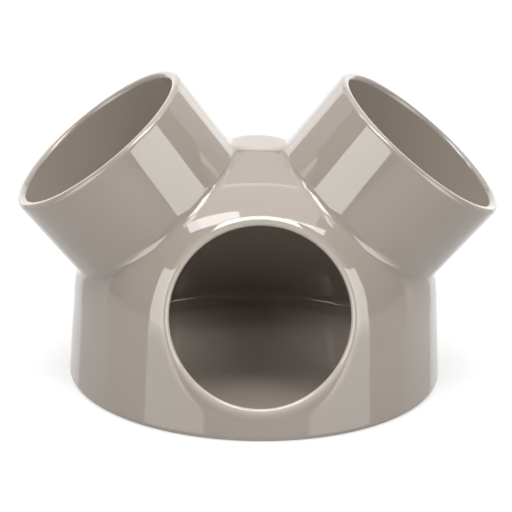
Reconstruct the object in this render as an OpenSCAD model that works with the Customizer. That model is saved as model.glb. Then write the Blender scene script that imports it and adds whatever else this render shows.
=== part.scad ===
// Glazed ceramic hideout for small pets: a hollow dome with a round doorway in front
// and two tubes that lean up and out to the sides.
// The foot stands on z = 0, the dome is turned about the Z axis, and the doorway faces -Y.

/* [Dome] */
// Outside diameter at the foot
base_d = 140; // [120:0.5:160]
// Height of the flat top
dome_h = 90.2; // [80:0.1:100]
// Diameter of the flat top
top_d = 18; // [14:0.5:28]
// Thickness of the dome wall
wall_t = 5.2; // [4:0.1:6.5]
// Height where the side runs into the shoulder, from one shoulder radius under the flat top
side_h = 1.3; // [-5.2:0.5:6.8]
// Inward lean of the straight side, in degrees
side_lean = 3.2; // [1:0.1:5]
// Radius of the shoulder
shoulder_r = 59; // [50:0.5:66]
// Radius of the long crown between the shoulder and the brow
crown_r = 212; // [160:1:280]
// Radius of the brow at the edge of the flat top
brow_r = 7.2; // [4:0.1:9]
// Radius of the brow on the inside
inner_brow_r = 3; // [1:0.1:5]
// Rounding of the outer edge of the foot
foot_r = 2; // [0.5:0.1:3]

/* [Doorway] */
// Diameter of the doorway
door_d = 64.5; // [56:0.5:68]
// Height where the axis of the doorway meets the outside of the dome
door_z = 45.5; // [42:0.1:48]
// Upward tilt of the axis of the doorway, in degrees
door_tilt = 18; // [12:0.5:26]

/* [Tubes] */
// Outside diameter of a tube at its rim
rim_d = 75.2; // [66:0.2:80]
// Thickness of a tube wall
tube_t = 3.8; // [3:0.1:5]
// Widening of a tube towards its rim, in degrees a side
tube_flare = 1.5; // [0:0.1:3]
// Lean of a tube from upright, in degrees
tube_lean = 38.2; // [34:0.1:42]
// Pitch of a tube towards the front, in degrees
tube_pitch = 3.8; // [0:0.1:6]
// Distance along the axis from where the two axes meet to the rim
tube_reach = 96.2; // [88:0.2:110]
// Height where the two tube axes meet
tube_root_z = 18.4; // [14:0.1:22]
// Distance in front of the axis of the dome where the two tube axes meet
tube_root_y = 1.6; // [0:0.1:6]

/* [Floor] */
// Thickness of the floor plate
floor_t = 3.5; // [2.5:0.1:5]
// Height of the underside of the floor plate above the foot
floor_lift = 1; // [0.5:0.1:2]
// Radius of the seam between the floor and the wall
floor_seam_r = 4.5; // [3:0.1:6]

/* [Slip joints] */
// Thickness of the slip between two joined pieces
slip_t = 0.1; // [0.05:0.01:0.15]
// Radius of the seam round the foot of a tube
tube_seam_r = 4; // [3:0.1:5]
// Thickness left at the edge of a seam
seam_edge = 0.1; // [0.05:0.01:0.2]

/* [Hidden] */

$fn = 144;
glaze = [0.62, 0.58, 0.54];
slip = [0.66, 0.62, 0.58];
left = -1;
right = 1;

// Unit vector at an angle from the horizontal
function polar(a) = [cos(a), sin(a)];

// Angle of a vector from the horizontal
function slope(v) = atan2(v.y, v.x);

// Profile of the dome, as radius and height: a leaning side, a shoulder arc,
// a crown arc that touches the shoulder and the brow, and a flat top
side_top = dome_h - shoulder_r + side_h;
side_end = [base_d / 2 - side_top * tan(side_lean), side_top];
shoulder_c = side_end - shoulder_r * polar(side_lean);
brow_c = [top_d / 2, dome_h - brow_r];
span = norm(brow_c - shoulder_c);
span_dir = (brow_c - shoulder_c) / span;
crown_along = (span ^ 2 + (crown_r - shoulder_r) ^ 2 - (crown_r - brow_r) ^ 2) / (2 * span);
crown_across = sqrt((crown_r - shoulder_r) ^ 2 - crown_along ^ 2);
crown_c = shoulder_c + crown_along * span_dir + crown_across * [-span_dir.y, span_dir.x];
shoulder_end = slope(shoulder_c - crown_c);
crown_end = slope(brow_c - crown_c);

// Radius of the straight side at a height, for the profile grown outwards
function side_radius(z, grow) = base_d / 2 - z * tan(side_lean) + grow / cos(side_lean);

// Centre of a brow arc that touches the grown crown and the grown top
function brow_centre(r, grow) =
    let (z = dome_h + grow - r)
    [crown_c.x + sqrt((crown_r + grow - r) ^ 2 - (z - crown_c.y) ^ 2), z];

// Distance of a point, as radius and height, from the outside of the dome
function dome_gap(p) =
    slope(p - shoulder_c) < side_lean ? (p - side_end) * polar(side_lean) :
    slope(p - shoulder_c) < shoulder_end ? norm(p - shoulder_c) - shoulder_r :
    slope(p - crown_c) < crown_end ? norm(p - crown_c) - crown_r :
    p.x > brow_c.x ? norm(p - brow_c) - brow_r :
    p.y - dome_h;

// Angle above the horizontal of the outward normal of the dome nearest to a point
function dome_lean(p) =
    slope(p - shoulder_c) < side_lean ? side_lean :
    slope(p - shoulder_c) < shoulder_end ? slope(p - shoulder_c) :
    slope(p - crown_c) < crown_end ? slope(p - crown_c) :
    p.x > brow_c.x ? slope(p - brow_c) :
    90;

// A point in space as radius and height
function turned(p) = [norm([p.x, p.y]), p.z];

// Outward normal of the dome nearest to a point in space
function dome_normal(p) =
    let (lean = dome_lean(turned(p)), flat = [p.x, p.y] / norm([p.x, p.y]))
    [flat.x * cos(lean), flat.y * cos(lean), sin(lean)];

// Arc between two angles, as a disc cut to a strip across its chord
module arc_strip(c, r, a0, a1) {
    room = 2 * r * (1 - cos((a1 - a0) / 2)) * polar((a0 + a1) / 2);
    p0 = c + r * polar(a0);
    p1 = c + r * polar(a1);
    intersection() {
        translate(c) circle(r);
        polygon([p0 - room / 4, p0 + room, p1 + room, p1 - room / 4]);
    }
}

// Half section of the dome, grown outwards, with its foot lowered below z = 0.
// The shoulder and brow discs run a little past the stretches that they join.
lap = 0.01;
lap_turn = 8;
module dome_section(grow, brow, drop) {
    brow_at = brow_centre(brow, grow);
    turn = slope(brow_at - crown_c);
    polygon([
        [0, -drop],
        [side_radius(-drop, grow), -drop],
        shoulder_c + (shoulder_r + grow) * polar(side_lean),
        shoulder_c + (shoulder_r + grow) * polar(shoulder_end),
        crown_c + (crown_r + grow) * polar(turn),
        [brow_at.x, dome_h + grow],
        [0, dome_h + grow]
    ]);
    arc_strip(shoulder_c, shoulder_r + grow + lap, side_lean - lap_turn, shoulder_end + lap_turn);
    arc_strip(crown_c, crown_r + grow, shoulder_end, turn);
    arc_strip(brow_at, brow + lap, turn - lap_turn, 90 + lap_turn);
}

// What the rounding takes off the outer edge of the foot
module foot_corner() {
    c = [side_radius(foot_r, 0) - foot_r / cos(side_lean), foot_r];
    past = 2 * foot_r;
    difference() {
        polygon([c, c + [0, -past], c + [past, -past], c + past * polar(side_lean)]);
        translate(c) circle(foot_r);
    }
}

// Halvings of a range in a search
halvings = 40;

// Radius of the outside of the dome at a height
function dome_radius(z, low = 0, high = base_d, steps = halvings) =
    let (mid = (low + high) / 2)
    steps == 0 ? mid :
    dome_gap([mid, z]) > 0 ?
        dome_radius(z, low, mid, steps - 1) : dome_radius(z, mid, high, steps - 1);

// Round cut through the front wall
module doorway() {
    translate([0, -dome_radius(door_z), door_z])
        rotate([90 - door_tilt, 0, 0])
            cylinder(d = door_d, h = door_d, center = true);
}

// Axis of a tube, and two directions across it
function tube_axis(side) = [
    side * sin(tube_lean) * cos(tube_pitch),
    -sin(tube_pitch),
    cos(tube_lean) * cos(tube_pitch)
];
function tube_across(side) = let (u = tube_axis(side), v = cross([0, 1, 0], u)) v / norm(v);
function tube_around(side, a) =
    let (u = tube_axis(side), v = tube_across(side))
    cos(a) * v + sin(a) * cross(u, v);

// Outside radius of a tube at a distance along its axis
function tube_radius(s) = rim_d / 2 - (tube_reach - s) * tan(tube_flare);

// Stock of a tube starts a quarter of the way along its axis, inside the dome
tube_start = tube_reach / 4;

// Puts what is drawn along Z onto the axis of a tube
module on_tube(side) {
    u = tube_axis(side);
    translate([0, -tube_root_y, tube_root_z])
        rotate([0, acos(u.z), slope([u.x, u.y])])
            children();
}

// Half section of a tube wall with its round lip
module tube_section() {
    lip_r = tube_t / 2;
    lip = [tube_radius(tube_reach) - lip_r / cos(tube_flare), tube_reach - lip_r];
    across = lip_r * polar(-tube_flare);
    along = (lip.y - tube_start) / cos(tube_flare) * polar(90 - tube_flare);
    polygon([lip + across, lip - across, lip - across - along, lip + across - along]);
    translate(lip) circle(lip_r + lap);
}

// Space inside a tube
module tube_bore(side) {
    bore = tube_t / cos(tube_flare);
    on_tube(side)
        translate([0, 0, tube_start])
            cylinder(
                r1 = tube_radius(tube_start) - bore,
                r2 = tube_radius(tube_reach) - bore,
                h = tube_reach - tube_start
            );
}

// What a tube is trimmed to: the outside of the dome and everything under the foot
module tube_seat() {
    rotate_extrude() dome_section(slip_t, brow_r + slip_t, tube_reach);
}

module tube(side) {
    color(glaze)
        difference() {
            on_tube(side) rotate_extrude() tube_section();
            tube_seat();
        }
}

// Point on the outside of a tube, and the outward normal there
function tube_point(side, s, a) =
    [0, -tube_root_y, tube_root_z] + s * tube_axis(side) + tube_radius(s) * tube_around(side, a);
function tube_normal(side, a) =
    cos(tube_flare) * tube_around(side, a) - sin(tube_flare) * tube_axis(side);

// Distance along a tube where a ball of a given radius, rolling on it, touches the dome
function ball_seat(side, a, r, low = tube_start, high = tube_reach, steps = halvings) =
    let (mid = (low + high) / 2, ball = tube_point(side, mid, a) + r * tube_normal(side, a))
    steps == 0 ? mid :
    dome_gap(turned(ball)) > r ?
        ball_seat(side, a, r, low, mid, steps - 1) : ball_seat(side, a, r, mid, high, steps - 1);

// Direction turned from one unit vector towards another
function turn_between(v, w, a) =
    let (flat = w - (v * w) * v)
    cos(a) * v + sin(a) * flat / norm(flat);

// One cut across a tube seam: a hollow face between the tube and the dome,
// and the corner behind it
seam_steps = 6;
function seam_cut(side, a) =
    let (
        s = ball_seat(side, a, tube_seam_r),
        on_wall = tube_normal(side, a),
        ball = tube_point(side, s, a) + tube_seam_r * on_wall,
        on_dome = dome_normal(ball),
        spread = acos(on_wall * on_dome),
        edge = acos(1 - (slip_t + seam_edge) / tube_seam_r),
        step = (spread - 2 * edge) / seam_steps,
        hollow = [
            for (i = [0 : seam_steps])
                ball - tube_seam_r * turn_between(on_wall, on_dome, edge + step * i)
        ],
        corner = tube_point(side, ball_seat(side, a, slip_t), a) + slip_t * on_wall
    )
    concat(
        hollow,
        [hollow[seam_steps] - seam_edge * on_dome, corner, hollow[0] - seam_edge * on_wall]
    );

// Closed ring through cuts that go once round
seam_cuts = 90;
module tube_seam(side) {
    rows = [for (i = [0 : seam_cuts - 1]) seam_cut(side, side * i * 360 / seam_cuts)];
    width = len(rows[0]);
    corners = [for (row = rows) each row];
    faces = [
        for (i = [0 : seam_cuts - 1], j = [0 : width - 1])
            let (
                i2 = (i + 1) % seam_cuts,
                j2 = (j + 1) % width,
                p = i * width + j,
                q = i2 * width + j,
                r = i2 * width + j2,
                t = i * width + j2
            )
            each [[p, r, q], [p, t, r]]
    ];
    color(slip) polyhedron(corners, faces);
}

module dome_shell() {
    color(glaze)
        difference() {
            rotate_extrude()
                difference() {
                    dome_section(0, brow_r, 0);
                    foot_corner();
                }
            rotate_extrude() dome_section(-wall_t, inner_brow_r, wall_t);
            doorway();
            tube_bore(left);
            tube_bore(right);
        }
}

module floor_plate() {
    grow = -wall_t - slip_t;
    color(glaze)
        translate([0, 0, floor_lift])
            cylinder(
                r1 = side_radius(floor_lift, grow),
                r2 = side_radius(floor_lift + floor_t, grow),
                h = floor_t
            );
}

module floor_seam() {
    low = floor_lift + floor_t + slip_t;
    grow = -wall_t - slip_t;
    high = low + floor_seam_r;
    inner = side_radius(high, grow) - floor_seam_r;
    color(slip)
        rotate_extrude()
            difference() {
                polygon([
                    [inner, low],
                    [side_radius(low, grow), low],
                    [side_radius(high, grow), high],
                    [inner, high]
                ]);
                translate([inner, high]) circle(floor_seam_r - seam_edge);
            }
}

dome_shell();
floor_plate();
floor_seam();
tube(left);  // left_tube
tube(right);  // right_tube
tube_seam(left);  // left_tube_seam
tube_seam(right);  // right_tube_seam
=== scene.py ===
# Glazed ceramic hideout for small pets: the look of its pieces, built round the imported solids.
import math

import bpy
import numpy as np
from mathutils import Matrix, Quaternion, Vector


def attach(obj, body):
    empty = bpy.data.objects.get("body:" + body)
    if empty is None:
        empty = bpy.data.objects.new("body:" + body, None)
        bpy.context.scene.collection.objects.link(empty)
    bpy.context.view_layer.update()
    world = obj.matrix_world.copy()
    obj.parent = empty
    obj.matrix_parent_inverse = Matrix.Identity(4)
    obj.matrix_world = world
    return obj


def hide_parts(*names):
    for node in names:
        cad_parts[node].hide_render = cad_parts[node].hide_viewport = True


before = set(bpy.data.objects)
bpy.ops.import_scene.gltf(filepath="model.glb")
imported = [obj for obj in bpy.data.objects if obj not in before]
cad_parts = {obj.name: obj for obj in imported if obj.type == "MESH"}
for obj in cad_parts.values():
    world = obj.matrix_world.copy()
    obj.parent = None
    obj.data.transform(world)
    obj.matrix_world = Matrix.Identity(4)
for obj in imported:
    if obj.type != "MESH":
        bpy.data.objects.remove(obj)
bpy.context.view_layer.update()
scene = bpy.context.scene
print("frame loaded:", ", ".join(sorted(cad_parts)))


# Outlines: rows of radius, height and outward normal

strokeStep = 0.0001  # spacing of the points along an outline


def polar(angle):
    return np.array([math.cos(math.radians(angle)), math.sin(math.radians(angle))])


def slope(v):
    return math.degrees(math.atan2(v[1], v[0]))


def lineStroke(start, end, facing):
    start, end = np.array(start), np.array(end)
    count = max(2, int(np.linalg.norm(end - start) / strokeStep))
    places = start + np.linspace(0, 1, count)[:, None] * (end - start)
    return np.hstack([places, np.tile(polar(facing), (count, 1))])


def arcStroke(centre, radius, start, end):
    count = max(8, int(abs(radius * math.radians(end - start)) / strokeStep))
    turn = np.radians(np.linspace(start, end, count))
    facing = np.stack([np.cos(turn), np.sin(turn)], 1)
    return np.hstack([np.array(centre) + radius * facing, facing])


def outline(strokes):
    rows = np.vstack(strokes)
    steps = np.linalg.norm(np.diff(rows[:, :2], axis=0), axis=1)
    return {"along": np.concatenate([[0], np.cumsum(steps)]), "rows": rows}


def onOutline(line, along):
    return [np.interp(along, line["along"], line["rows"][:, i]) for i in range(4)]


def spun(line, along, turn):
    # points and normals of an outline turned about Z
    r, z, nr, nz = onOutline(line, along)
    across = [np.cos(turn), np.sin(turn)]
    points = np.stack([r * across[0], r * across[1], z], -1)
    return points, np.stack([nr * across[0], nr * across[1], nz], -1)


# Meshes

smoothAngle = 40  # degrees between faces, above which an edge stays sharp


def gridObject(name, rows):
    # closed skin through rows of points, each row and the stack of rows going once round
    count, columns = rows.shape[:2]
    index = np.arange(count * columns).reshape(count, columns)
    below, beside = np.roll(index, -1, 0), np.roll(index, -1, 1)
    quads = np.stack([index, beside, np.roll(below, -1, 1), below], -1).reshape(-1, 4)
    return meshObject(name, rows.reshape(-1, 3), quads.tolist())


def turnedObject(name, line, columns):
    # solid turned from an outline whose ends lie on the axis
    turn = np.linspace(0, 2 * math.pi, columns, endpoint=False)
    corners = line[1:-1]
    ring = np.stack([np.cos(turn), np.sin(turn), np.ones(columns)], -1)
    points = np.array([[[r, r, z]] * ring for r, z in corners]).reshape(-1, 3)
    points = np.vstack([points, [[0, 0, line[0][1]], [0, 0, line[-1][1]]]])
    index = np.arange(len(corners) * columns).reshape(len(corners), columns)
    beside = np.roll(index, -1, 1)
    faces = np.stack([index[:-1], index[1:], beside[1:], beside[:-1]], -1).reshape(-1, 4).tolist()
    faces += [[len(points) - 2, a, b] for a, b in zip(index[0], beside[0])]
    faces += [[len(points) - 1, b, a] for a, b in zip(index[-1], beside[-1])]
    return meshObject(name, points, faces)


def meshObject(name, points, faces):
    mesh = bpy.data.meshes.new(name)
    mesh.from_pydata(points.tolist(), [], faces)
    mesh.validate()
    piece = bpy.data.objects.new(name, mesh)
    scene.collection.objects.link(piece)
    turnOutwards(mesh)
    return piece


def coords(mesh):
    flat = np.empty(len(mesh.vertices) * 3, np.float32)
    mesh.vertices.foreach_get("co", flat)
    return flat.reshape(-1, 3).astype(float)


def turnOutwards(mesh):
    mesh.calc_loop_triangles()
    corners = np.empty(len(mesh.loop_triangles) * 3, np.int32)
    mesh.loop_triangles.foreach_get("vertices", corners)
    a, b, c = coords(mesh)[corners.reshape(-1, 3)].transpose(1, 0, 2)
    if np.einsum("ij,ij->i", a, np.cross(b, c)).sum() < 0:
        mesh.flip_normals()


def baked(piece):
    # what the modifiers make of a piece, as a plain mesh
    depsgraph = bpy.context.evaluated_depsgraph_get()
    mesh = bpy.data.meshes.new_from_object(piece.evaluated_get(depsgraph))
    piece.modifiers.clear()
    piece.data = mesh
    return piece


def smoothed(piece):
    piece.data.polygons.foreach_set("use_smooth", [True] * len(piece.data.polygons))
    piece.data.set_sharp_from_angle(angle=math.radians(smoothAngle))
    return piece


# Dome: a leaning side, a shoulder, a long crown, a brow and a flat top

dome = {
    "footRadius": 0.070,
    "height": 0.0902,
    "topRadius": 0.009,
    "wall": 0.0052,
    "sideHeight": 0.0325,
    "sideLean": 3.2,
    "shoulderRadius": 0.059,
    "crownRadius": 0.212,
    "browRadius": 0.0072,
    "innerBrowRadius": 0.003,
    "footEdge": 0.002,
    "columns": 360,
    "outerRows": 120,
    "innerRows": 80,
    "footRows": 8,
    "coreRows": 160,
    "rowEase": 1.5,  # rows crowd towards the doorway
}
door = {
    "radius": 0.03225,
    "height": 0.0455,
    "tilt": 18,
    "shoulder": 0.011,
    "shoulderTurn": (12, 9, 32),  # at the top, at the sides and at the bottom
    "tip": 0.0016,
    "tipTurn": 155,
    "rows": (10, 16, 8),
}

sideLean, wall = dome["sideLean"], dome["wall"]
sideInset = dome["sideHeight"] * math.tan(math.radians(sideLean))
sideEnd = np.array([dome["footRadius"] - sideInset, dome["sideHeight"]])
shoulderCentre = sideEnd - dome["shoulderRadius"] * polar(sideLean)
browCentre = np.array([dome["topRadius"], dome["height"] - dome["browRadius"]])
reach = np.linalg.norm(browCentre - shoulderCentre)
reachDir = (browCentre - shoulderCentre) / reach
toShoulder = dome["crownRadius"] - dome["shoulderRadius"]
toBrow = dome["crownRadius"] - dome["browRadius"]
crownAlong = (reach ** 2 + toShoulder ** 2 - toBrow ** 2) / (2 * reach)
crownAcross = math.sqrt(toShoulder ** 2 - crownAlong ** 2)
reachAcross = np.array([-reachDir[1], reachDir[0]])
crownCentre = shoulderCentre + crownAlong * reachDir + crownAcross * reachAcross
shoulderEnd = slope(shoulderCentre - crownCentre)
crownEnd = slope(browCentre - crownCentre)


def sideRadius(z, grow):
    lean = math.radians(sideLean)
    return dome["footRadius"] - z * math.tan(lean) + grow / math.cos(lean)


def domeStrokes(grow, brow, footZ):
    # outline from the middle of the top down to a height near the foot
    top = dome["height"] + grow
    crown, shoulder = dome["crownRadius"] + grow, dome["shoulderRadius"] + grow
    rise = top - brow - crownCentre[1]
    browAt = np.array([crownCentre[0] + math.sqrt((crown - brow) ** 2 - rise ** 2), top - brow])
    browEnd = slope(browAt - crownCentre)
    sideStart, sideStop = shoulderCentre + shoulder * polar(sideLean), (sideRadius(footZ, grow), footZ)
    return [
        lineStroke((0, top), (browAt[0], top), 90),
        arcStroke(browAt, brow, 90, browEnd),
        arcStroke(crownCentre, crown, browEnd, shoulderEnd),
        arcStroke(shoulderCentre, shoulder, shoulderEnd, sideLean),
        lineStroke(sideStart, sideStop, sideLean),
    ]


footEdge = dome["footEdge"]
footCentre = np.array([sideRadius(footEdge, 0) - footEdge / math.cos(math.radians(sideLean)), footEdge])
footTop = footEdge * (1 + math.sin(math.radians(sideLean)))
outerLine = outline(domeStrokes(0, dome["browRadius"], footTop))
innerLine = outline(domeStrokes(-wall, dome["innerBrowRadius"], 0))
footLine = outline([arcStroke(footCentre, footEdge, sideLean, -90)])


def domeZones(r, z):
    # which stretch of the outline is nearest: side, shoulder, crown, brow or top
    aroundShoulder = np.degrees(np.arctan2(z - shoulderCentre[1], r - shoulderCentre[0]))
    aroundCrown = np.degrees(np.arctan2(z - crownCentre[1], r - crownCentre[0]))
    aroundBrow = np.degrees(np.arctan2(z - browCentre[1], r - browCentre[0]))
    zones = [
        aroundShoulder < sideLean,
        aroundShoulder < shoulderEnd,
        aroundCrown < crownEnd,
        r > browCentre[0],
    ]
    return zones, aroundShoulder, aroundCrown, aroundBrow


def domeGap(points):
    # distance of points from the outside of the dome
    r, z = np.hypot(points[..., 0], points[..., 1]), points[..., 2]
    side = polar(sideLean)
    return np.select(domeZones(r, z)[0], [
        (r - sideEnd[0]) * side[0] + (z - sideEnd[1]) * side[1],
        np.hypot(r - shoulderCentre[0], z - shoulderCentre[1]) - dome["shoulderRadius"],
        np.hypot(r - crownCentre[0], z - crownCentre[1]) - dome["crownRadius"],
        np.hypot(r - browCentre[0], z - browCentre[1]) - dome["browRadius"],
    ], z - dome["height"])


def domeNormal(points):
    r, z = np.hypot(points[..., 0], points[..., 1]), points[..., 2]
    zones, aroundShoulder, aroundCrown, aroundBrow = domeZones(r, z)
    leans = [np.full_like(r, sideLean), aroundShoulder, aroundCrown, aroundBrow]
    lean = np.radians(np.select(zones, leans, 90.0))
    flat = points[..., :2] / r[..., None]
    return np.concatenate([flat * np.cos(lean)[..., None], np.sin(lean)[..., None]], -1)


def halved(low, high, isPast, steps=50):
    # where a test first holds between two arrays of values
    for _ in range(steps):
        middle = (low + high) / 2
        past = isPast(middle)
        low, high = np.where(past, low, middle), np.where(past, middle, high)
    return (low + high) / 2


doorAxis = np.array([0, -math.cos(math.radians(door["tilt"])), math.sin(math.radians(door["tilt"]))])
doorAlong = np.interp(-door["height"], -outerLine["rows"][:, 1], outerLine["along"])
pierce = spun(outerLine, np.array(doorAlong), np.array(-math.pi / 2))[0]


def fromDoorAxis(points):
    away = points - pierce
    return np.linalg.norm(away - (away @ doorAxis)[..., None] * doorAxis, axis=-1)


def towardsDoor(points, facing):
    # along the skin of the dome, towards the axis of the doorway
    away = points - pierce
    inwards = (away @ doorAxis)[..., None] * doorAxis - away
    inwards -= np.einsum("ij,ij->i", inwards, facing)[:, None] * facing
    return inwards / np.linalg.norm(inwards, axis=1)[:, None]


def heading(bend):
    # inwards and below the outside of the dome, for a turn of the normal
    return np.stack([np.sin(bend), -np.cos(bend)])


def lipArcs(inwards):
    # Across the edge of the doorway: a soft shoulder, a tight tip and a long slope over the wall.
    # An arc has a radius, the first and last turn of its normal, and a centre, given like a heading.
    shoulder, tip = door["shoulder"], door["tip"]
    top, side, bottom = np.radians(door["shoulderTurn"])
    rise = np.clip(inwards[:, 2], -1, 1)
    first = side + np.where(rise < 0, top - side, bottom - side) * rise ** 2
    last = np.full_like(first, math.radians(door["tipTurn"]))
    depth = shoulder * (1 - np.cos(first)) + tip * (np.cos(first) - np.cos(last))
    longRadius = (wall - depth) / (1 + np.cos(last))
    softCentre = np.stack([np.zeros_like(first), np.full_like(first, shoulder)])
    tipCentre = softCentre + (shoulder - tip) * heading(first)
    longCentre = tipCentre + (tip - longRadius) * heading(last)
    return [
        (shoulder, np.zeros_like(first), first, softCentre),
        (tip, first, last, tipCentre),
        (longRadius, last, np.full_like(last, math.pi), longCentre),
    ]


def domeRows():
    # The dome is laid out flat round the middle of its top. Spokes run from the doorway to the foot.
    turn = np.linspace(0, 2 * math.pi, dome["columns"], endpoint=False)
    spoke = np.stack([np.cos(turn), np.sin(turn)], -1)
    hub = np.array([0, -doorAlong])
    end = outerLine["along"][-1]
    ahead = spoke @ hub
    toFoot = -ahead + np.sqrt(ahead ** 2 + end ** 2 - hub @ hub)

    def onDome(line, flat):
        return spun(line, np.linalg.norm(flat, axis=-1), np.arctan2(flat[..., 1], flat[..., 0]))

    def pastLip(length):
        points, facing = onDome(outerLine, hub + length[:, None] * spoke)
        inwards = towardsDoor(points, facing)
        across, depth = lipArcs(inwards)[1][3][..., None]
        return fromDoorAxis(points + across * inwards - depth * facing) > door["radius"] + door["tip"]

    toLip = halved(np.full_like(turn, door["radius"] / 2), toFoot, pastLip)
    outerShares = np.linspace(0, 1, dome["outerRows"]) ** dome["rowEase"]
    lengths = [toLip + share * (toFoot - toLip) for share in outerShares]
    outer = [onDome(outerLine, hub + length[:, None] * spoke)[0] for length in lengths]

    footAt = hub + toFoot[:, None] * spoke
    footTurn = np.arctan2(footAt[:, 1], footAt[:, 0])
    footSteps = np.linspace(0, footLine["along"][-1], dome["footRows"])[1:]
    foot = [spun(footLine, np.full_like(turn, step), footTurn)[0] for step in footSteps]

    edge, facing = onDome(outerLine, hub + toLip[:, None] * spoke)
    inwards = towardsDoor(edge, facing)
    lip = []
    for (radius, first, last, centre), count in zip(lipArcs(inwards), door["rows"]):
        for share in np.linspace(0, 1, count + 1)[1:]:
            bend = first + share * (last - first)
            across, depth = (centre + radius * heading(bend))[..., None]
            lip.append(edge + across * inwards - depth * facing)
    innerEdge = lip[-1]
    innerAlong = np.interp(-innerEdge[:, 2], -innerLine["rows"][:, 1], innerLine["along"])
    edgeTurn = np.arctan2(innerEdge[:, 1], innerEdge[:, 0])
    start = innerAlong[:, None] * np.stack([np.cos(edgeTurn), np.sin(edgeTurn)], -1)
    stop = innerLine["along"][-1] * np.stack([np.cos(footTurn), np.sin(footTurn)], -1)
    innerShares = np.linspace(0, 1, dome["innerRows"]) ** dome["rowEase"]
    inner = [onDome(innerLine, start + share * (stop - start))[0] for share in innerShares[::-1]]
    return np.array(outer + foot + inner + lip[-2::-1])


domeShell = gridObject("domeShell", domeRows())
print("dome shell:", len(domeShell.data.polygons), "faces")


# Tubes: flared walls with a round lip, trimmed to the outside of the dome

tube = {
    "rimRadius": 0.0376,
    "wall": 0.0038,
    "flare": 1.5,
    "lean": 38.2,
    "pitch": 3.8,
    "reach": 0.0962,
    "start": 0.02405,
    "root": (0, -0.0016, 0.0184),
    "columns": 288,
    "lipSteps": 12,
    "lipShare": 0.499,  # of the wall, so that the two corners of the lip stay apart
}
sides = {"left": -1, "right": 1}
flare = math.radians(tube["flare"])


def tubeAxis(side):
    lean, pitch = math.radians(tube["lean"]), math.radians(tube["pitch"])
    aside, up = math.sin(lean) * math.cos(pitch), math.cos(lean) * math.cos(pitch)
    return np.array([side * aside, -math.sin(pitch), up])


def tubeRotation(side):
    return Vector((0, 0, 1)).rotation_difference(Vector(tubeAxis(side))).to_euler()


def tubeRadius(along):
    return tube["rimRadius"] - (tube["reach"] - along) * math.tan(flare)


def placed(piece, side):
    # from the Z axis onto the axis of a tube
    piece.data.transform(tubeRotation(side).to_matrix().to_4x4())
    piece.data.transform(Matrix.Translation(tube["root"]))
    return piece


def newTree(name, inputs):
    tree = bpy.data.node_groups.new(name, "GeometryNodeTree")
    tree.interface.new_socket("Geometry", in_out="OUTPUT", socket_type="NodeSocketGeometry")
    for label, kind in inputs.items():
        tree.interface.new_socket(label, in_out="INPUT", socket_type="NodeSocket" + kind)
    return tree


def addNode(tree, kind, links=(), **settings):
    # settings are node properties, links are pairs of an input and a value or a socket
    made = tree.nodes.new(kind)
    for name, value in settings.items():
        setattr(made, name, value)
    for socket, value in links:
        if isinstance(value, bpy.types.NodeSocket):
            tree.links.new(value, made.inputs[socket])
        else:
            made.inputs[socket].default_value = value
    return made


def tubeTree():
    tree = newTree("tubeWall", {
        "Rim radius": "Float",
        "Wall": "Float",
        "Narrowing": "Float",
        "Reach": "Float",
        "Start": "Float",
        "Columns": "Int",
        "Lip steps": "Int",
        "Turn": "Rotation",
        "Root": "Vector",
        "Dome": "Object",
        "Glaze": "Material",
    })
    given = addNode(tree, "NodeGroupInput").outputs

    def maths(operation, a, b):
        return addNode(tree, "ShaderNodeMath", [(0, a), (1, b)], operation=operation).outputs[0]

    def corner(x, along):  # the section hangs down from its path
        down = maths("MULTIPLY", along, -1.0)
        return addNode(tree, "ShaderNodeCombineXYZ", [(0, x), (1, down)]).outputs[0]

    inside = maths("MULTIPLY", given["Wall"], -1.0)
    narrow = maths("MULTIPLY", given["Narrowing"], -1.0)
    section = addNode(tree, "GeometryNodeCurvePrimitiveQuadrilateral", [
        ("Point 1", corner(narrow, given["Start"])),
        ("Point 2", corner(0.0, given["Reach"])),
        ("Point 3", corner(inside, given["Reach"])),
        ("Point 4", corner(maths("ADD", narrow, inside), given["Start"])),
    ], mode="POINTS").outputs[0]
    lipMiddle = 1.5  # corners 1 and 2 of the section are on the lip
    corners = addNode(tree, "GeometryNodeInputIndex").outputs[0]
    fromLip = maths("ABSOLUTE", maths("SUBTRACT", corners, lipMiddle), 0.0)
    onLip = maths("LESS_THAN", fromLip, 1.0)
    lip = maths("MULTIPLY", maths("MULTIPLY", given["Wall"], tube["lipShare"]), onLip)
    section = addNode(tree, "GeometryNodeFilletCurve", [
        ("Curve", section), ("Radius", lip), ("Count", given["Lip steps"]),
    ], mode="POLY").outputs[0]
    path = addNode(tree, "GeometryNodeCurvePrimitiveCircle", [
        ("Resolution", given["Columns"]), ("Radius", given["Rim radius"]),
    ], mode="RADIUS").outputs[0]
    swept = [("Curve", path), ("Profile Curve", section)]
    skin = addNode(tree, "GeometryNodeCurveToMesh", swept).outputs[0]
    skin = addNode(tree, "GeometryNodeTransform", [
        ("Geometry", skin), ("Translation", given["Root"]), ("Rotation", given["Turn"]),
    ]).outputs[0]
    seat = addNode(tree, "GeometryNodeObjectInfo", [("Object", given["Dome"])], transform_space="RELATIVE")
    trimmed = addNode(tree, "GeometryNodeMeshBoolean", [
        ("Mesh 1", skin), ("Mesh 2", seat.outputs["Geometry"]),
    ], operation="DIFFERENCE", solver="EXACT").outputs["Mesh"]
    whole = addNode(tree, "GeometryNodeRealizeInstances", [("Geometry", trimmed)]).outputs[0]
    coat = [("Geometry", whole), ("Material", given["Glaze"])]
    whole = addNode(tree, "GeometryNodeSetMaterial", coat).outputs[0]
    addNode(tree, "NodeGroupOutput", [("Geometry", whole)])
    return tree


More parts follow.
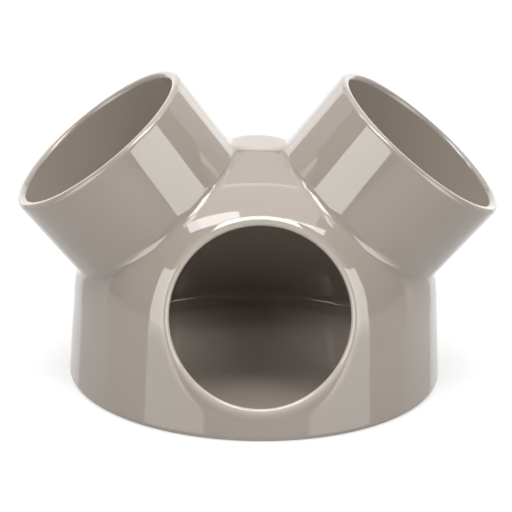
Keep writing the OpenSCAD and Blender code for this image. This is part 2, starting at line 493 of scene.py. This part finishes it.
def grown(name, tree, values):
    # a piece made by a tree, as a plain mesh
    piece = bpy.data.objects.new(name, bpy.data.meshes.new(name))
    scene.collection.objects.link(piece)
    maker = piece.modifiers.new(tree.name, "NODES")
    maker.node_group = tree
    for socket in tree.interface.items_tree:
        if socket.item_type == "SOCKET" and socket.in_out == "INPUT":
            maker[socket.identifier] = values[socket.name]
    return baked(piece)


def boreCutter(side):
    inside = tube["wall"] / math.cos(flare)
    low, high = tube["start"], tube["reach"]
    line = [(0, low), (tubeRadius(low) - inside, low), (tubeRadius(high) - inside, high), (0, high)]
    return placed(turnedObject("boreCutter", line, tube["columns"]), side)


def bored(piece, cutters):
    for cutter in cutters:
        cut = piece.modifiers.new(cutter.name, "BOOLEAN")
        cut.operation, cut.solver, cut.object = "DIFFERENCE", "EXACT", cutter
    baked(piece)
    for cutter in cutters:
        bpy.data.objects.remove(cutter)
    return piece


bored(domeShell, [boreCutter(side) for side in sides.values()])
smoothed(domeShell)
coreAlong = np.linspace(0, outerLine["along"][-1], dome["coreRows"])
coreLine = list(zip(*onOutline(outerLine, coreAlong)[:2]))
domeCore = turnedObject("domeCore", coreLine + [(0, footTop)], dome["columns"])
print("dome bored:", len(domeShell.data.polygons), "faces")

wallTree = tubeTree()
glazeMaterial = bpy.data.materials.new("glaze")
tubes = {}
for name, side in sides.items():
    tubes[name] = grown(name + "Tube", wallTree, {
        "Rim radius": tube["rimRadius"],
        "Wall": tube["wall"],
        "Narrowing": tube["rimRadius"] - tubeRadius(tube["start"]),
        "Reach": tube["reach"],
        "Start": tube["start"],
        "Columns": tube["columns"],
        "Lip steps": tube["lipSteps"],
        "Turn": tubeRotation(side),
        "Root": tube["root"],
        "Dome": domeCore,
        "Glaze": glazeMaterial,
    })
    turnOutwards(tubes[name].data)
    smoothed(tubes[name])
bpy.data.objects.remove(domeCore)
print("tubes:", [len(piece.data.polygons) for piece in tubes.values()], "faces")


# Seams of slip: the hollow that a ball leaves when it rolls along the corner of two pieces

seam = {"radius": 0.004, "lift": 0.00003, "bite": 0.0003, "columns": 288, "steps": 16}


def seamRows(side):
    turn = np.linspace(0, 2 * math.pi, seam["columns"], endpoint=False)[:, None]
    axis = tubeAxis(side)
    across = np.cross([0, 1, 0], axis)
    across /= np.linalg.norm(across)
    around = np.cos(turn) * across + np.sin(turn) * np.cross(axis, across)
    onWall = math.cos(flare) * around - math.sin(flare) * axis

    def wallPoint(along):
        return np.array(tube["root"]) + along * axis + tubeRadius(along) * around

    def seat(radius):
        def isClear(along):
            return domeGap(wallPoint(along) + radius * onWall)[:, None] > radius

        return halved(np.full_like(turn, tube["start"]), np.full_like(turn, tube["reach"]), isClear)

    ball = wallPoint(seat(seam["radius"])) + seam["radius"] * onWall
    onDome = domeNormal(ball)
    spread = np.arccos(np.einsum("ij,ij->i", onWall, onDome))[:, None]
    aside = onDome - np.cos(spread) * onWall
    aside /= np.linalg.norm(aside, axis=1)[:, None]
    shallow = seam["radius"] - seam["lift"]
    bends = [share * spread for share in np.linspace(0, 1, seam["steps"] + 1)]
    hollow = [ball - shallow * (np.cos(bend) * onWall + np.sin(bend) * aside) for bend in bends]
    deep = seam["radius"] + seam["bite"]
    corner = wallPoint(seat(0)) - seam["bite"] * (onWall + onDome)
    return np.array(hollow + [ball - deep * onDome, corner, ball - deep * onWall])


seams = {name: smoothed(gridObject(name + "Seam", seamRows(side))) for name, side in sides.items()}
print("tube seams:", [len(piece.data.polygons) for piece in seams.values()], "faces")


# Floor: a round plate inside the foot, with its own seam against the wall

floor = {
    "thickness": 0.0035,
    "lift": 0.001,
    "slip": 0.0001,
    "seamRadius": 0.0045,
    "columns": 288,
    "steps": 14,
    "rings": 12,
}
floorTop = floor["lift"] + floor["thickness"]


def floorOutline():
    low, high = floor["lift"], floorTop
    rim = [(sideRadius(z, -wall - floor["slip"]), z) for z in (high, low)]
    inner = [(rim[0][0] * share, high) for share in np.linspace(0, 1, floor["rings"])[1:-1]]
    return [(0, high)] + inner + rim + [(0, low)]


def floorSeamRows():
    turn = np.linspace(0, 2 * math.pi, floor["columns"], endpoint=False)
    radius = floor["seamRadius"]
    height = floorTop + radius
    centre = np.array([sideRadius(height, -wall) - radius / math.cos(math.radians(sideLean)), height])
    facings = np.linspace(-90, sideLean, floor["steps"] + 1)
    section = [centre + (radius - seam["lift"]) * polar(facing) for facing in facings]
    deep = radius + seam["bite"]
    corner = np.array([sideRadius(floorTop, -wall) + seam["bite"], floorTop - seam["bite"]])
    section += [centre + deep * polar(sideLean), corner, centre + deep * polar(-90)]
    x, y = np.cos(turn), np.sin(turn)
    return np.array([np.stack([r * x, r * y, np.full_like(turn, z)], -1) for r, z in section])


floorPlate = smoothed(turnedObject("floorPlate", floorOutline(), floor["columns"]))
floorSeam = smoothed(gridObject("floorSeam", floorSeamRows()))
print("floor:", len(floorPlate.data.polygons) + len(floorSeam.data.polygons), "faces")


# Glaze: glossy warm grey, paler where it thins on the lips, with painted light on the doorway lip, darker
# where it pools in the seams, and painted shade inside the tubes

glaze = {
    "colour": (0.324, 0.280, 0.243),
    "paleColour": (0.352, 0.306, 0.267),
    # also the colour of the painted light on the doorway lip
    "thinAndLitColour": (0.56, 0.51, 0.45),
    # also the colour of the painted shade inside the tubes
    "pooledAndShadedColour": (0.27, 0.235, 0.205),
    "speckColour": (0.20, 0.165, 0.135),
    "clayColour": (0.60, 0.53, 0.44),
    "roughness": (0.035, 0.065),
    "clayRoughness": 0.85,
    "refraction": 1.7,
    "bareHeight": 0.0006,
    "mottle": (16, 3.0),  # scale and detail of a noise
    "haze": (90, 2.0),
    "wave": (42, 1.0),
    "noiseRange": (0.3, 0.7),
    "waveDepth": 0.00012,
    "speckScale": 95,
    "speckSize": 0.022,
    "speckChosen": (0.80, 0.95),  # few of the cells hold a speck
    "speckShare": 0.6,
}
# glaze that thins on the lips, and painted light on the doorway lip
thinningAndLight = {
    "doorWidth": 0.002,
    "doorShare": 0.85,
    "rimWidth": 16,  # degrees round the lip
    "rimShare": 0.3,
}
# darker glaze pooled in the seams, and painted shade inside the tubes
poolingAndShade = {
    "tint": 0.5,
    "boreShadeShare": 0.8,
    "boreShadeDepth": 0.9,  # of the wall, past which a point is on the inside
}


def painted(piece, layerName, values):
    layer = piece.data.attributes.new(layerName, "FLOAT", "POINT")
    layer.data.foreach_set("value", np.asarray(values, np.float32))


def aboutTube(points, side):
    # distances along the axis of a tube and away from it
    away = points - np.array(tube["root"])
    along = away @ tubeAxis(side)
    return along, np.linalg.norm(away - along[:, None] * tubeAxis(side), axis=1)


# paler doorway lip: partly glaze that thins there, partly painted light where the lip faces the lamps
def doorThinningAndLight(points):
    onLip = (points[:, 1] < 0) & (domeGap(points) > -wall / 2)
    fromTip = (fromDoorAxis(points) - door["radius"]) / thinningAndLight["doorWidth"]
    return thinningAndLight["doorShare"] * onLip * np.exp(-fromTip ** 2)


def rimThinning(points, side):
    along, radius = aboutTube(points, side)
    lip = tube["wall"] / 2
    ahead = along - (tube["reach"] - lip)
    fromCrest = np.degrees(np.arctan2(radius - tube["rimRadius"] + lip, ahead)) / thinningAndLight["rimWidth"]
    return thinningAndLight["rimShare"] * (ahead > 0) * np.exp(-fromCrest ** 2)


def paintedBoreShade(points, side):
    # painted shade: the inside of a tube is coloured darker, where shade falls
    along, radius = aboutTube(points, side)
    return poolingAndShade["boreShadeShare"] * (radius < tubeRadius(along) - tube["wall"] * poolingAndShade["boreShadeDepth"])


def seamPooling(hollowSteps, rowCount, columns):
    depth = np.zeros(rowCount)
    depth[:hollowSteps + 1] = np.sin(np.linspace(0, math.pi, hollowSteps + 1)) ** 2
    return np.repeat(depth, columns)


# the doorway lip: thinning glaze and painted light
painted(domeShell, "thinAndLit", doorThinningAndLight(coords(domeShell.data)))
for name, side in sides.items():
    painted(tubes[name], "thinAndLit", rimThinning(coords(tubes[name].data), side))
    # painted shade inside the tubes, on the layer that also holds the pooled glaze of the seams
    painted(tubes[name], "poolAndShade", paintedBoreShade(coords(tubes[name].data), side))
    painted(seams[name], "poolAndShade", seamPooling(seam["steps"], seam["steps"] + 4, seam["columns"]))
painted(floorSeam, "poolAndShade", seamPooling(floor["steps"], floor["steps"] + 4, floor["columns"]))


def glazeNodes(material):
    material.use_nodes = True
    tree = material.node_tree
    tree.nodes.clear()
    place = addNode(tree, "ShaderNodeTexCoord").outputs["Object"]

    def noise(scale, detail):
        made = addNode(tree, "ShaderNodeTexNoise", [
            ("Vector", place), ("Scale", scale), ("Detail", detail),
        ])
        return made.outputs["Fac"]

    def ranged(value, fromLow, fromHigh, low=0.0, high=1.0):
        made = addNode(tree, "ShaderNodeMapRange", [
            ("Value", value), ("From Min", fromLow), ("From Max", fromHigh),
            ("To Min", low), ("To Max", high),
        ])
        return made.outputs["Result"]

    def layer(layerName):
        return addNode(tree, "ShaderNodeAttribute", attribute_name=layerName).outputs["Fac"]

    def times(a, b):
        return addNode(tree, "ShaderNodeMath", [(0, a), (1, b)], operation="MULTIPLY").outputs[0]

    def tinted(share, under, over):
        # the colour sockets of the node share their names with others, so they go by number
        made = addNode(tree, "ShaderNodeMix", data_type="RGBA")
        factor, first, second = made.inputs[0], made.inputs[6], made.inputs[7]
        tree.links.new(share, factor)
        second.default_value = (*glaze[over], 1)
        if isinstance(under, str):
            first.default_value = (*glaze[under], 1)
        else:
            tree.links.new(under, first)
        return made.outputs[2]

    mottle = ranged(noise(*glaze["mottle"]), *glaze["noiseRange"])
    cells = addNode(tree, "ShaderNodeTexVoronoi", [("Vector", place), ("Scale", glaze["speckScale"])])
    chosen = addNode(tree, "ShaderNodeSeparateColor", [("Color", cells.outputs["Color"])]).outputs[0]
    speck = times(
        ranged(cells.outputs["Distance"], glaze["speckSize"], 0.0),
        ranged(chosen, *glaze["speckChosen"], 0.0, glaze["speckShare"]),
    )
    height = addNode(tree, "ShaderNodeSeparateXYZ", [("Vector", place)]).outputs["Z"]
    bare = ranged(height, glaze["bareHeight"], glaze["bareHeight"] / 2)

    colour = tinted(mottle, "colour", "paleColour")
    colour = tinted(speck, colour, "speckColour")
    # pooled glaze in the seams, and painted shade inside the tubes
    colour = tinted(times(layer("poolAndShade"), poolingAndShade["tint"]), colour, "pooledAndShadedColour")
    # glaze that thins on the lips, and painted light on the doorway lip
    colour = tinted(layer("thinAndLit"), colour, "thinAndLitColour")
    colour = tinted(bare, colour, "clayColour")

    haze = ranged(noise(*glaze["haze"]), *glaze["noiseRange"], *glaze["roughness"])
    rough = addNode(tree, "ShaderNodeMix", [
        (0, bare), (2, haze), (3, glaze["clayRoughness"]),
    ], data_type="FLOAT")
    wave = addNode(tree, "ShaderNodeBump", [
        ("Height", noise(*glaze["wave"])), ("Strength", 1.0), ("Distance", glaze["waveDepth"]),
    ])
    shader = addNode(tree, "ShaderNodeBsdfPrincipled", [
        ("Base Color", colour), ("Roughness", rough.outputs[0]),
        ("Normal", wave.outputs[0]), ("IOR", glaze["refraction"]),
    ])
    addNode(tree, "ShaderNodeOutputMaterial", [("Surface", shader.outputs[0])])


glazeNodes(glazeMaterial)
stands = {
    "dome_shell": domeShell,
    "floor_plate": floorPlate,
    "floor_seam": floorSeam,
    **{name + "_tube": piece for name, piece in tubes.items()},
    **{name + "_tube_seam": piece for name, piece in seams.items()},
}
for node, piece in stands.items():
    piece.data.materials.clear()
    piece.data.materials.append(glazeMaterial)
    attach(piece, "root")
    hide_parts(node)
print("glazed:", ", ".join(stands))


# Studio: a pale glossy floor, soft boxes to both sides, overhead and behind, and a lit backdrop

studio = {
    "surround": 0.02,
    "floorSize": 4.0,
    "floorColour": 0.45,
    "floorRoughness": 0.1,
    "floorRefraction": 2.2,
    "floorMirrored": 0.3,  # glow that the glaze mirrors
    "floorSeen": (0.62, 0.42),  # glow and shade that the camera sees
    "floorFade": (0.25, 0.55),  # from the axis, where the floor runs out to white
}
softBoxes = {  # turn is from the front towards the right, rise is above the floor
    "leftBox": {"turn": -49.5, "rise": 14, "distance": 1.0, "size": (0.67, 0.6), "radiance": 3.65},
    "rightBox": {"turn": 51, "rise": 14, "distance": 1.0, "size": (0.71, 0.6), "radiance": 3.6},
    "topFront": {"turn": 0, "rise": 71, "distance": 1.02, "size": (0.7, 0.32), "radiance": 9.5},
    "topLeft": {
        "turn": -79, "rise": 68, "distance": 1.07, "size": (0.5, 0.16), "radiance": 5.5, "spin": 79,
    },
    "topRight": {
        "turn": 71.6, "rise": 64.6, "distance": 1.1, "size": (0.4, 0.08), "radiance": 5.5, "spin": -71.6,
    },
    "topBox": {"turn": 180, "rise": 81, "distance": 1.02, "size": (1.15, 0.66), "radiance": 1.4},
    "backTop": {"turn": 180, "rise": 54, "distance": 1.1, "size": (1.6, 0.46), "radiance": 1.05},
    "backLeft": {"turn": -128, "rise": 14, "distance": 1.5, "size": (1.3, 0.9), "radiance": 0.5},
    "backRight": {"turn": 128, "rise": 14, "distance": 1.5, "size": (1.3, 0.9), "radiance": 0.6},
    "backdrop": {"turn": 180, "rise": 18, "distance": 1.6, "size": (2.6, 1.2), "radiance": 1.6},
}
aim = Vector((0, 0, 0.045))  # what the lights and the camera face


def outwards(turn, rise):
    turn, rise = math.radians(turn), math.radians(rise)
    return Vector((math.sin(turn) * math.cos(rise), -math.cos(turn) * math.cos(rise), math.sin(rise)))


def softBox(name, turn, rise, distance, size, radiance, spin=0):
    lamp = bpy.data.lights.new(name, "AREA")
    lamp.shape, lamp.size, lamp.size_y = "RECTANGLE", *size
    lamp.energy = radiance * math.pi * size[0] * size[1]
    box = bpy.data.objects.new(name, lamp)
    box.location = aim + distance * outwards(turn, rise)
    box.rotation_mode = "QUATERNION"
    level = outwards(turn, rise).to_track_quat("Z", "Y")
    box.rotation_quaternion = level @ Quaternion((0, 0, 1), math.radians(spin))
    box.visible_camera = False
    scene.collection.objects.link(box)


def surround():
    world = bpy.data.worlds.new("surround")
    world.use_nodes = True
    tree = world.node_tree
    tree.nodes.clear()
    seen = addNode(tree, "ShaderNodeLightPath").outputs["Is Camera Ray"]
    white = (1, 1, 1, 1)
    ambient = addNode(tree, "ShaderNodeBackground", [("Color", white), ("Strength", studio["surround"])])
    paper = addNode(tree, "ShaderNodeBackground", [("Color", white), ("Strength", 1.0)])
    both = addNode(tree, "ShaderNodeMixShader", [(0, seen), (1, ambient.outputs[0]), (2, paper.outputs[0])])
    addNode(tree, "ShaderNodeOutputWorld", [("Surface", both.outputs[0])])
    scene.world = world


def stageFloor():
    half = studio["floorSize"]
    corners = np.array([[-half, -half, 0], [half, -half, 0], [half, half, 0], [-half, half, 0]])
    piece = meshObject("stageFloor", corners, [[0, 1, 2, 3]])
    material = bpy.data.materials.new("stageFloor")
    material.use_nodes = True
    tree = material.node_tree
    tree.nodes.clear()
    glowSeen, shadeSeen = studio["floorSeen"]
    shade = addNode(tree, "ShaderNodeBsdfDiffuse", [("Color", (shadeSeen, shadeSeen, shadeSeen, 1))])
    place = addNode(tree, "ShaderNodeTexCoord").outputs["Object"]
    away = addNode(tree, "ShaderNodeVectorMath", [(0, place)], operation="LENGTH").outputs["Value"]
    fade = addNode(tree, "ShaderNodeMapRange", [
        ("Value", away), ("From Min", studio["floorFade"][0]), ("From Max", studio["floorFade"][1]),
        ("To Min", glowSeen), ("To Max", 1.0),
    ])
    glow = addNode(tree, "ShaderNodeEmission", [("Strength", fade.outputs["Result"])])
    seen = addNode(tree, "ShaderNodeAddShader", [(0, shade.outputs[0]), (1, glow.outputs[0])])
    colour = (*[studio["floorColour"]] * 3, 1)
    sheet = addNode(tree, "ShaderNodeBsdfPrincipled", [
        ("Base Color", colour), ("Roughness", studio["floorRoughness"]), ("IOR", studio["floorRefraction"]),
    ])
    path = addNode(tree, "ShaderNodeLightPath").outputs
    mirrored = addNode(tree, "ShaderNodeMath", [
        (0, path["Is Glossy Ray"]), (1, studio["floorMirrored"]),
    ], operation="MULTIPLY")
    pale = addNode(tree, "ShaderNodeEmission", [("Strength", mirrored.outputs[0])])
    lit = addNode(tree, "ShaderNodeAddShader", [(0, sheet.outputs[0]), (1, pale.outputs[0])])
    both = addNode(tree, "ShaderNodeMixShader", [
        (0, path["Is Camera Ray"]), (1, lit.outputs[0]), (2, seen.outputs[0]),
    ])
    addNode(tree, "ShaderNodeOutputMaterial", [("Surface", both.outputs[0])])
    piece.data.materials.append(material)


surround()
stageFloor()
for name, box in softBoxes.items():
    softBox(name, **box)
print("studio lit by", ", ".join(softBoxes))


# Camera: from the front and a little above, as in the photograph

shot = {
    "distance": 0.9,
    "azimuth": -1.929,
    "elevation": 19.071,
    "roll": 1.112,
    "focalPixels": 2401.56,
    "middle": (256.15, 257.85),
    "pixels": 512,
    "sensor": 36,
}


def photoCamera():
    back = outwards(shot["azimuth"], shot["elevation"])
    lens = bpy.data.cameras.new("photoCamera")
    lens.sensor_width = shot["sensor"]
    lens.lens = shot["focalPixels"] * shot["sensor"] / shot["pixels"]
    lens.shift_x = (shot["pixels"] / 2 - shot["middle"][0]) / shot["pixels"]
    lens.shift_y = (shot["middle"][1] - shot["pixels"] / 2) / shot["pixels"]
    camera = bpy.data.objects.new("photoCamera", lens)
    camera.location = aim + back * shot["distance"]
    camera.rotation_mode = "QUATERNION"
    level = (-back).to_track_quat("-Z", "Y")
    camera.rotation_quaternion = level @ Quaternion((0, 0, 1), math.radians(shot["roll"]))
    scene.collection.objects.link(camera)
    scene.camera = camera


photoCamera()
scene.view_settings.view_transform = "Standard"
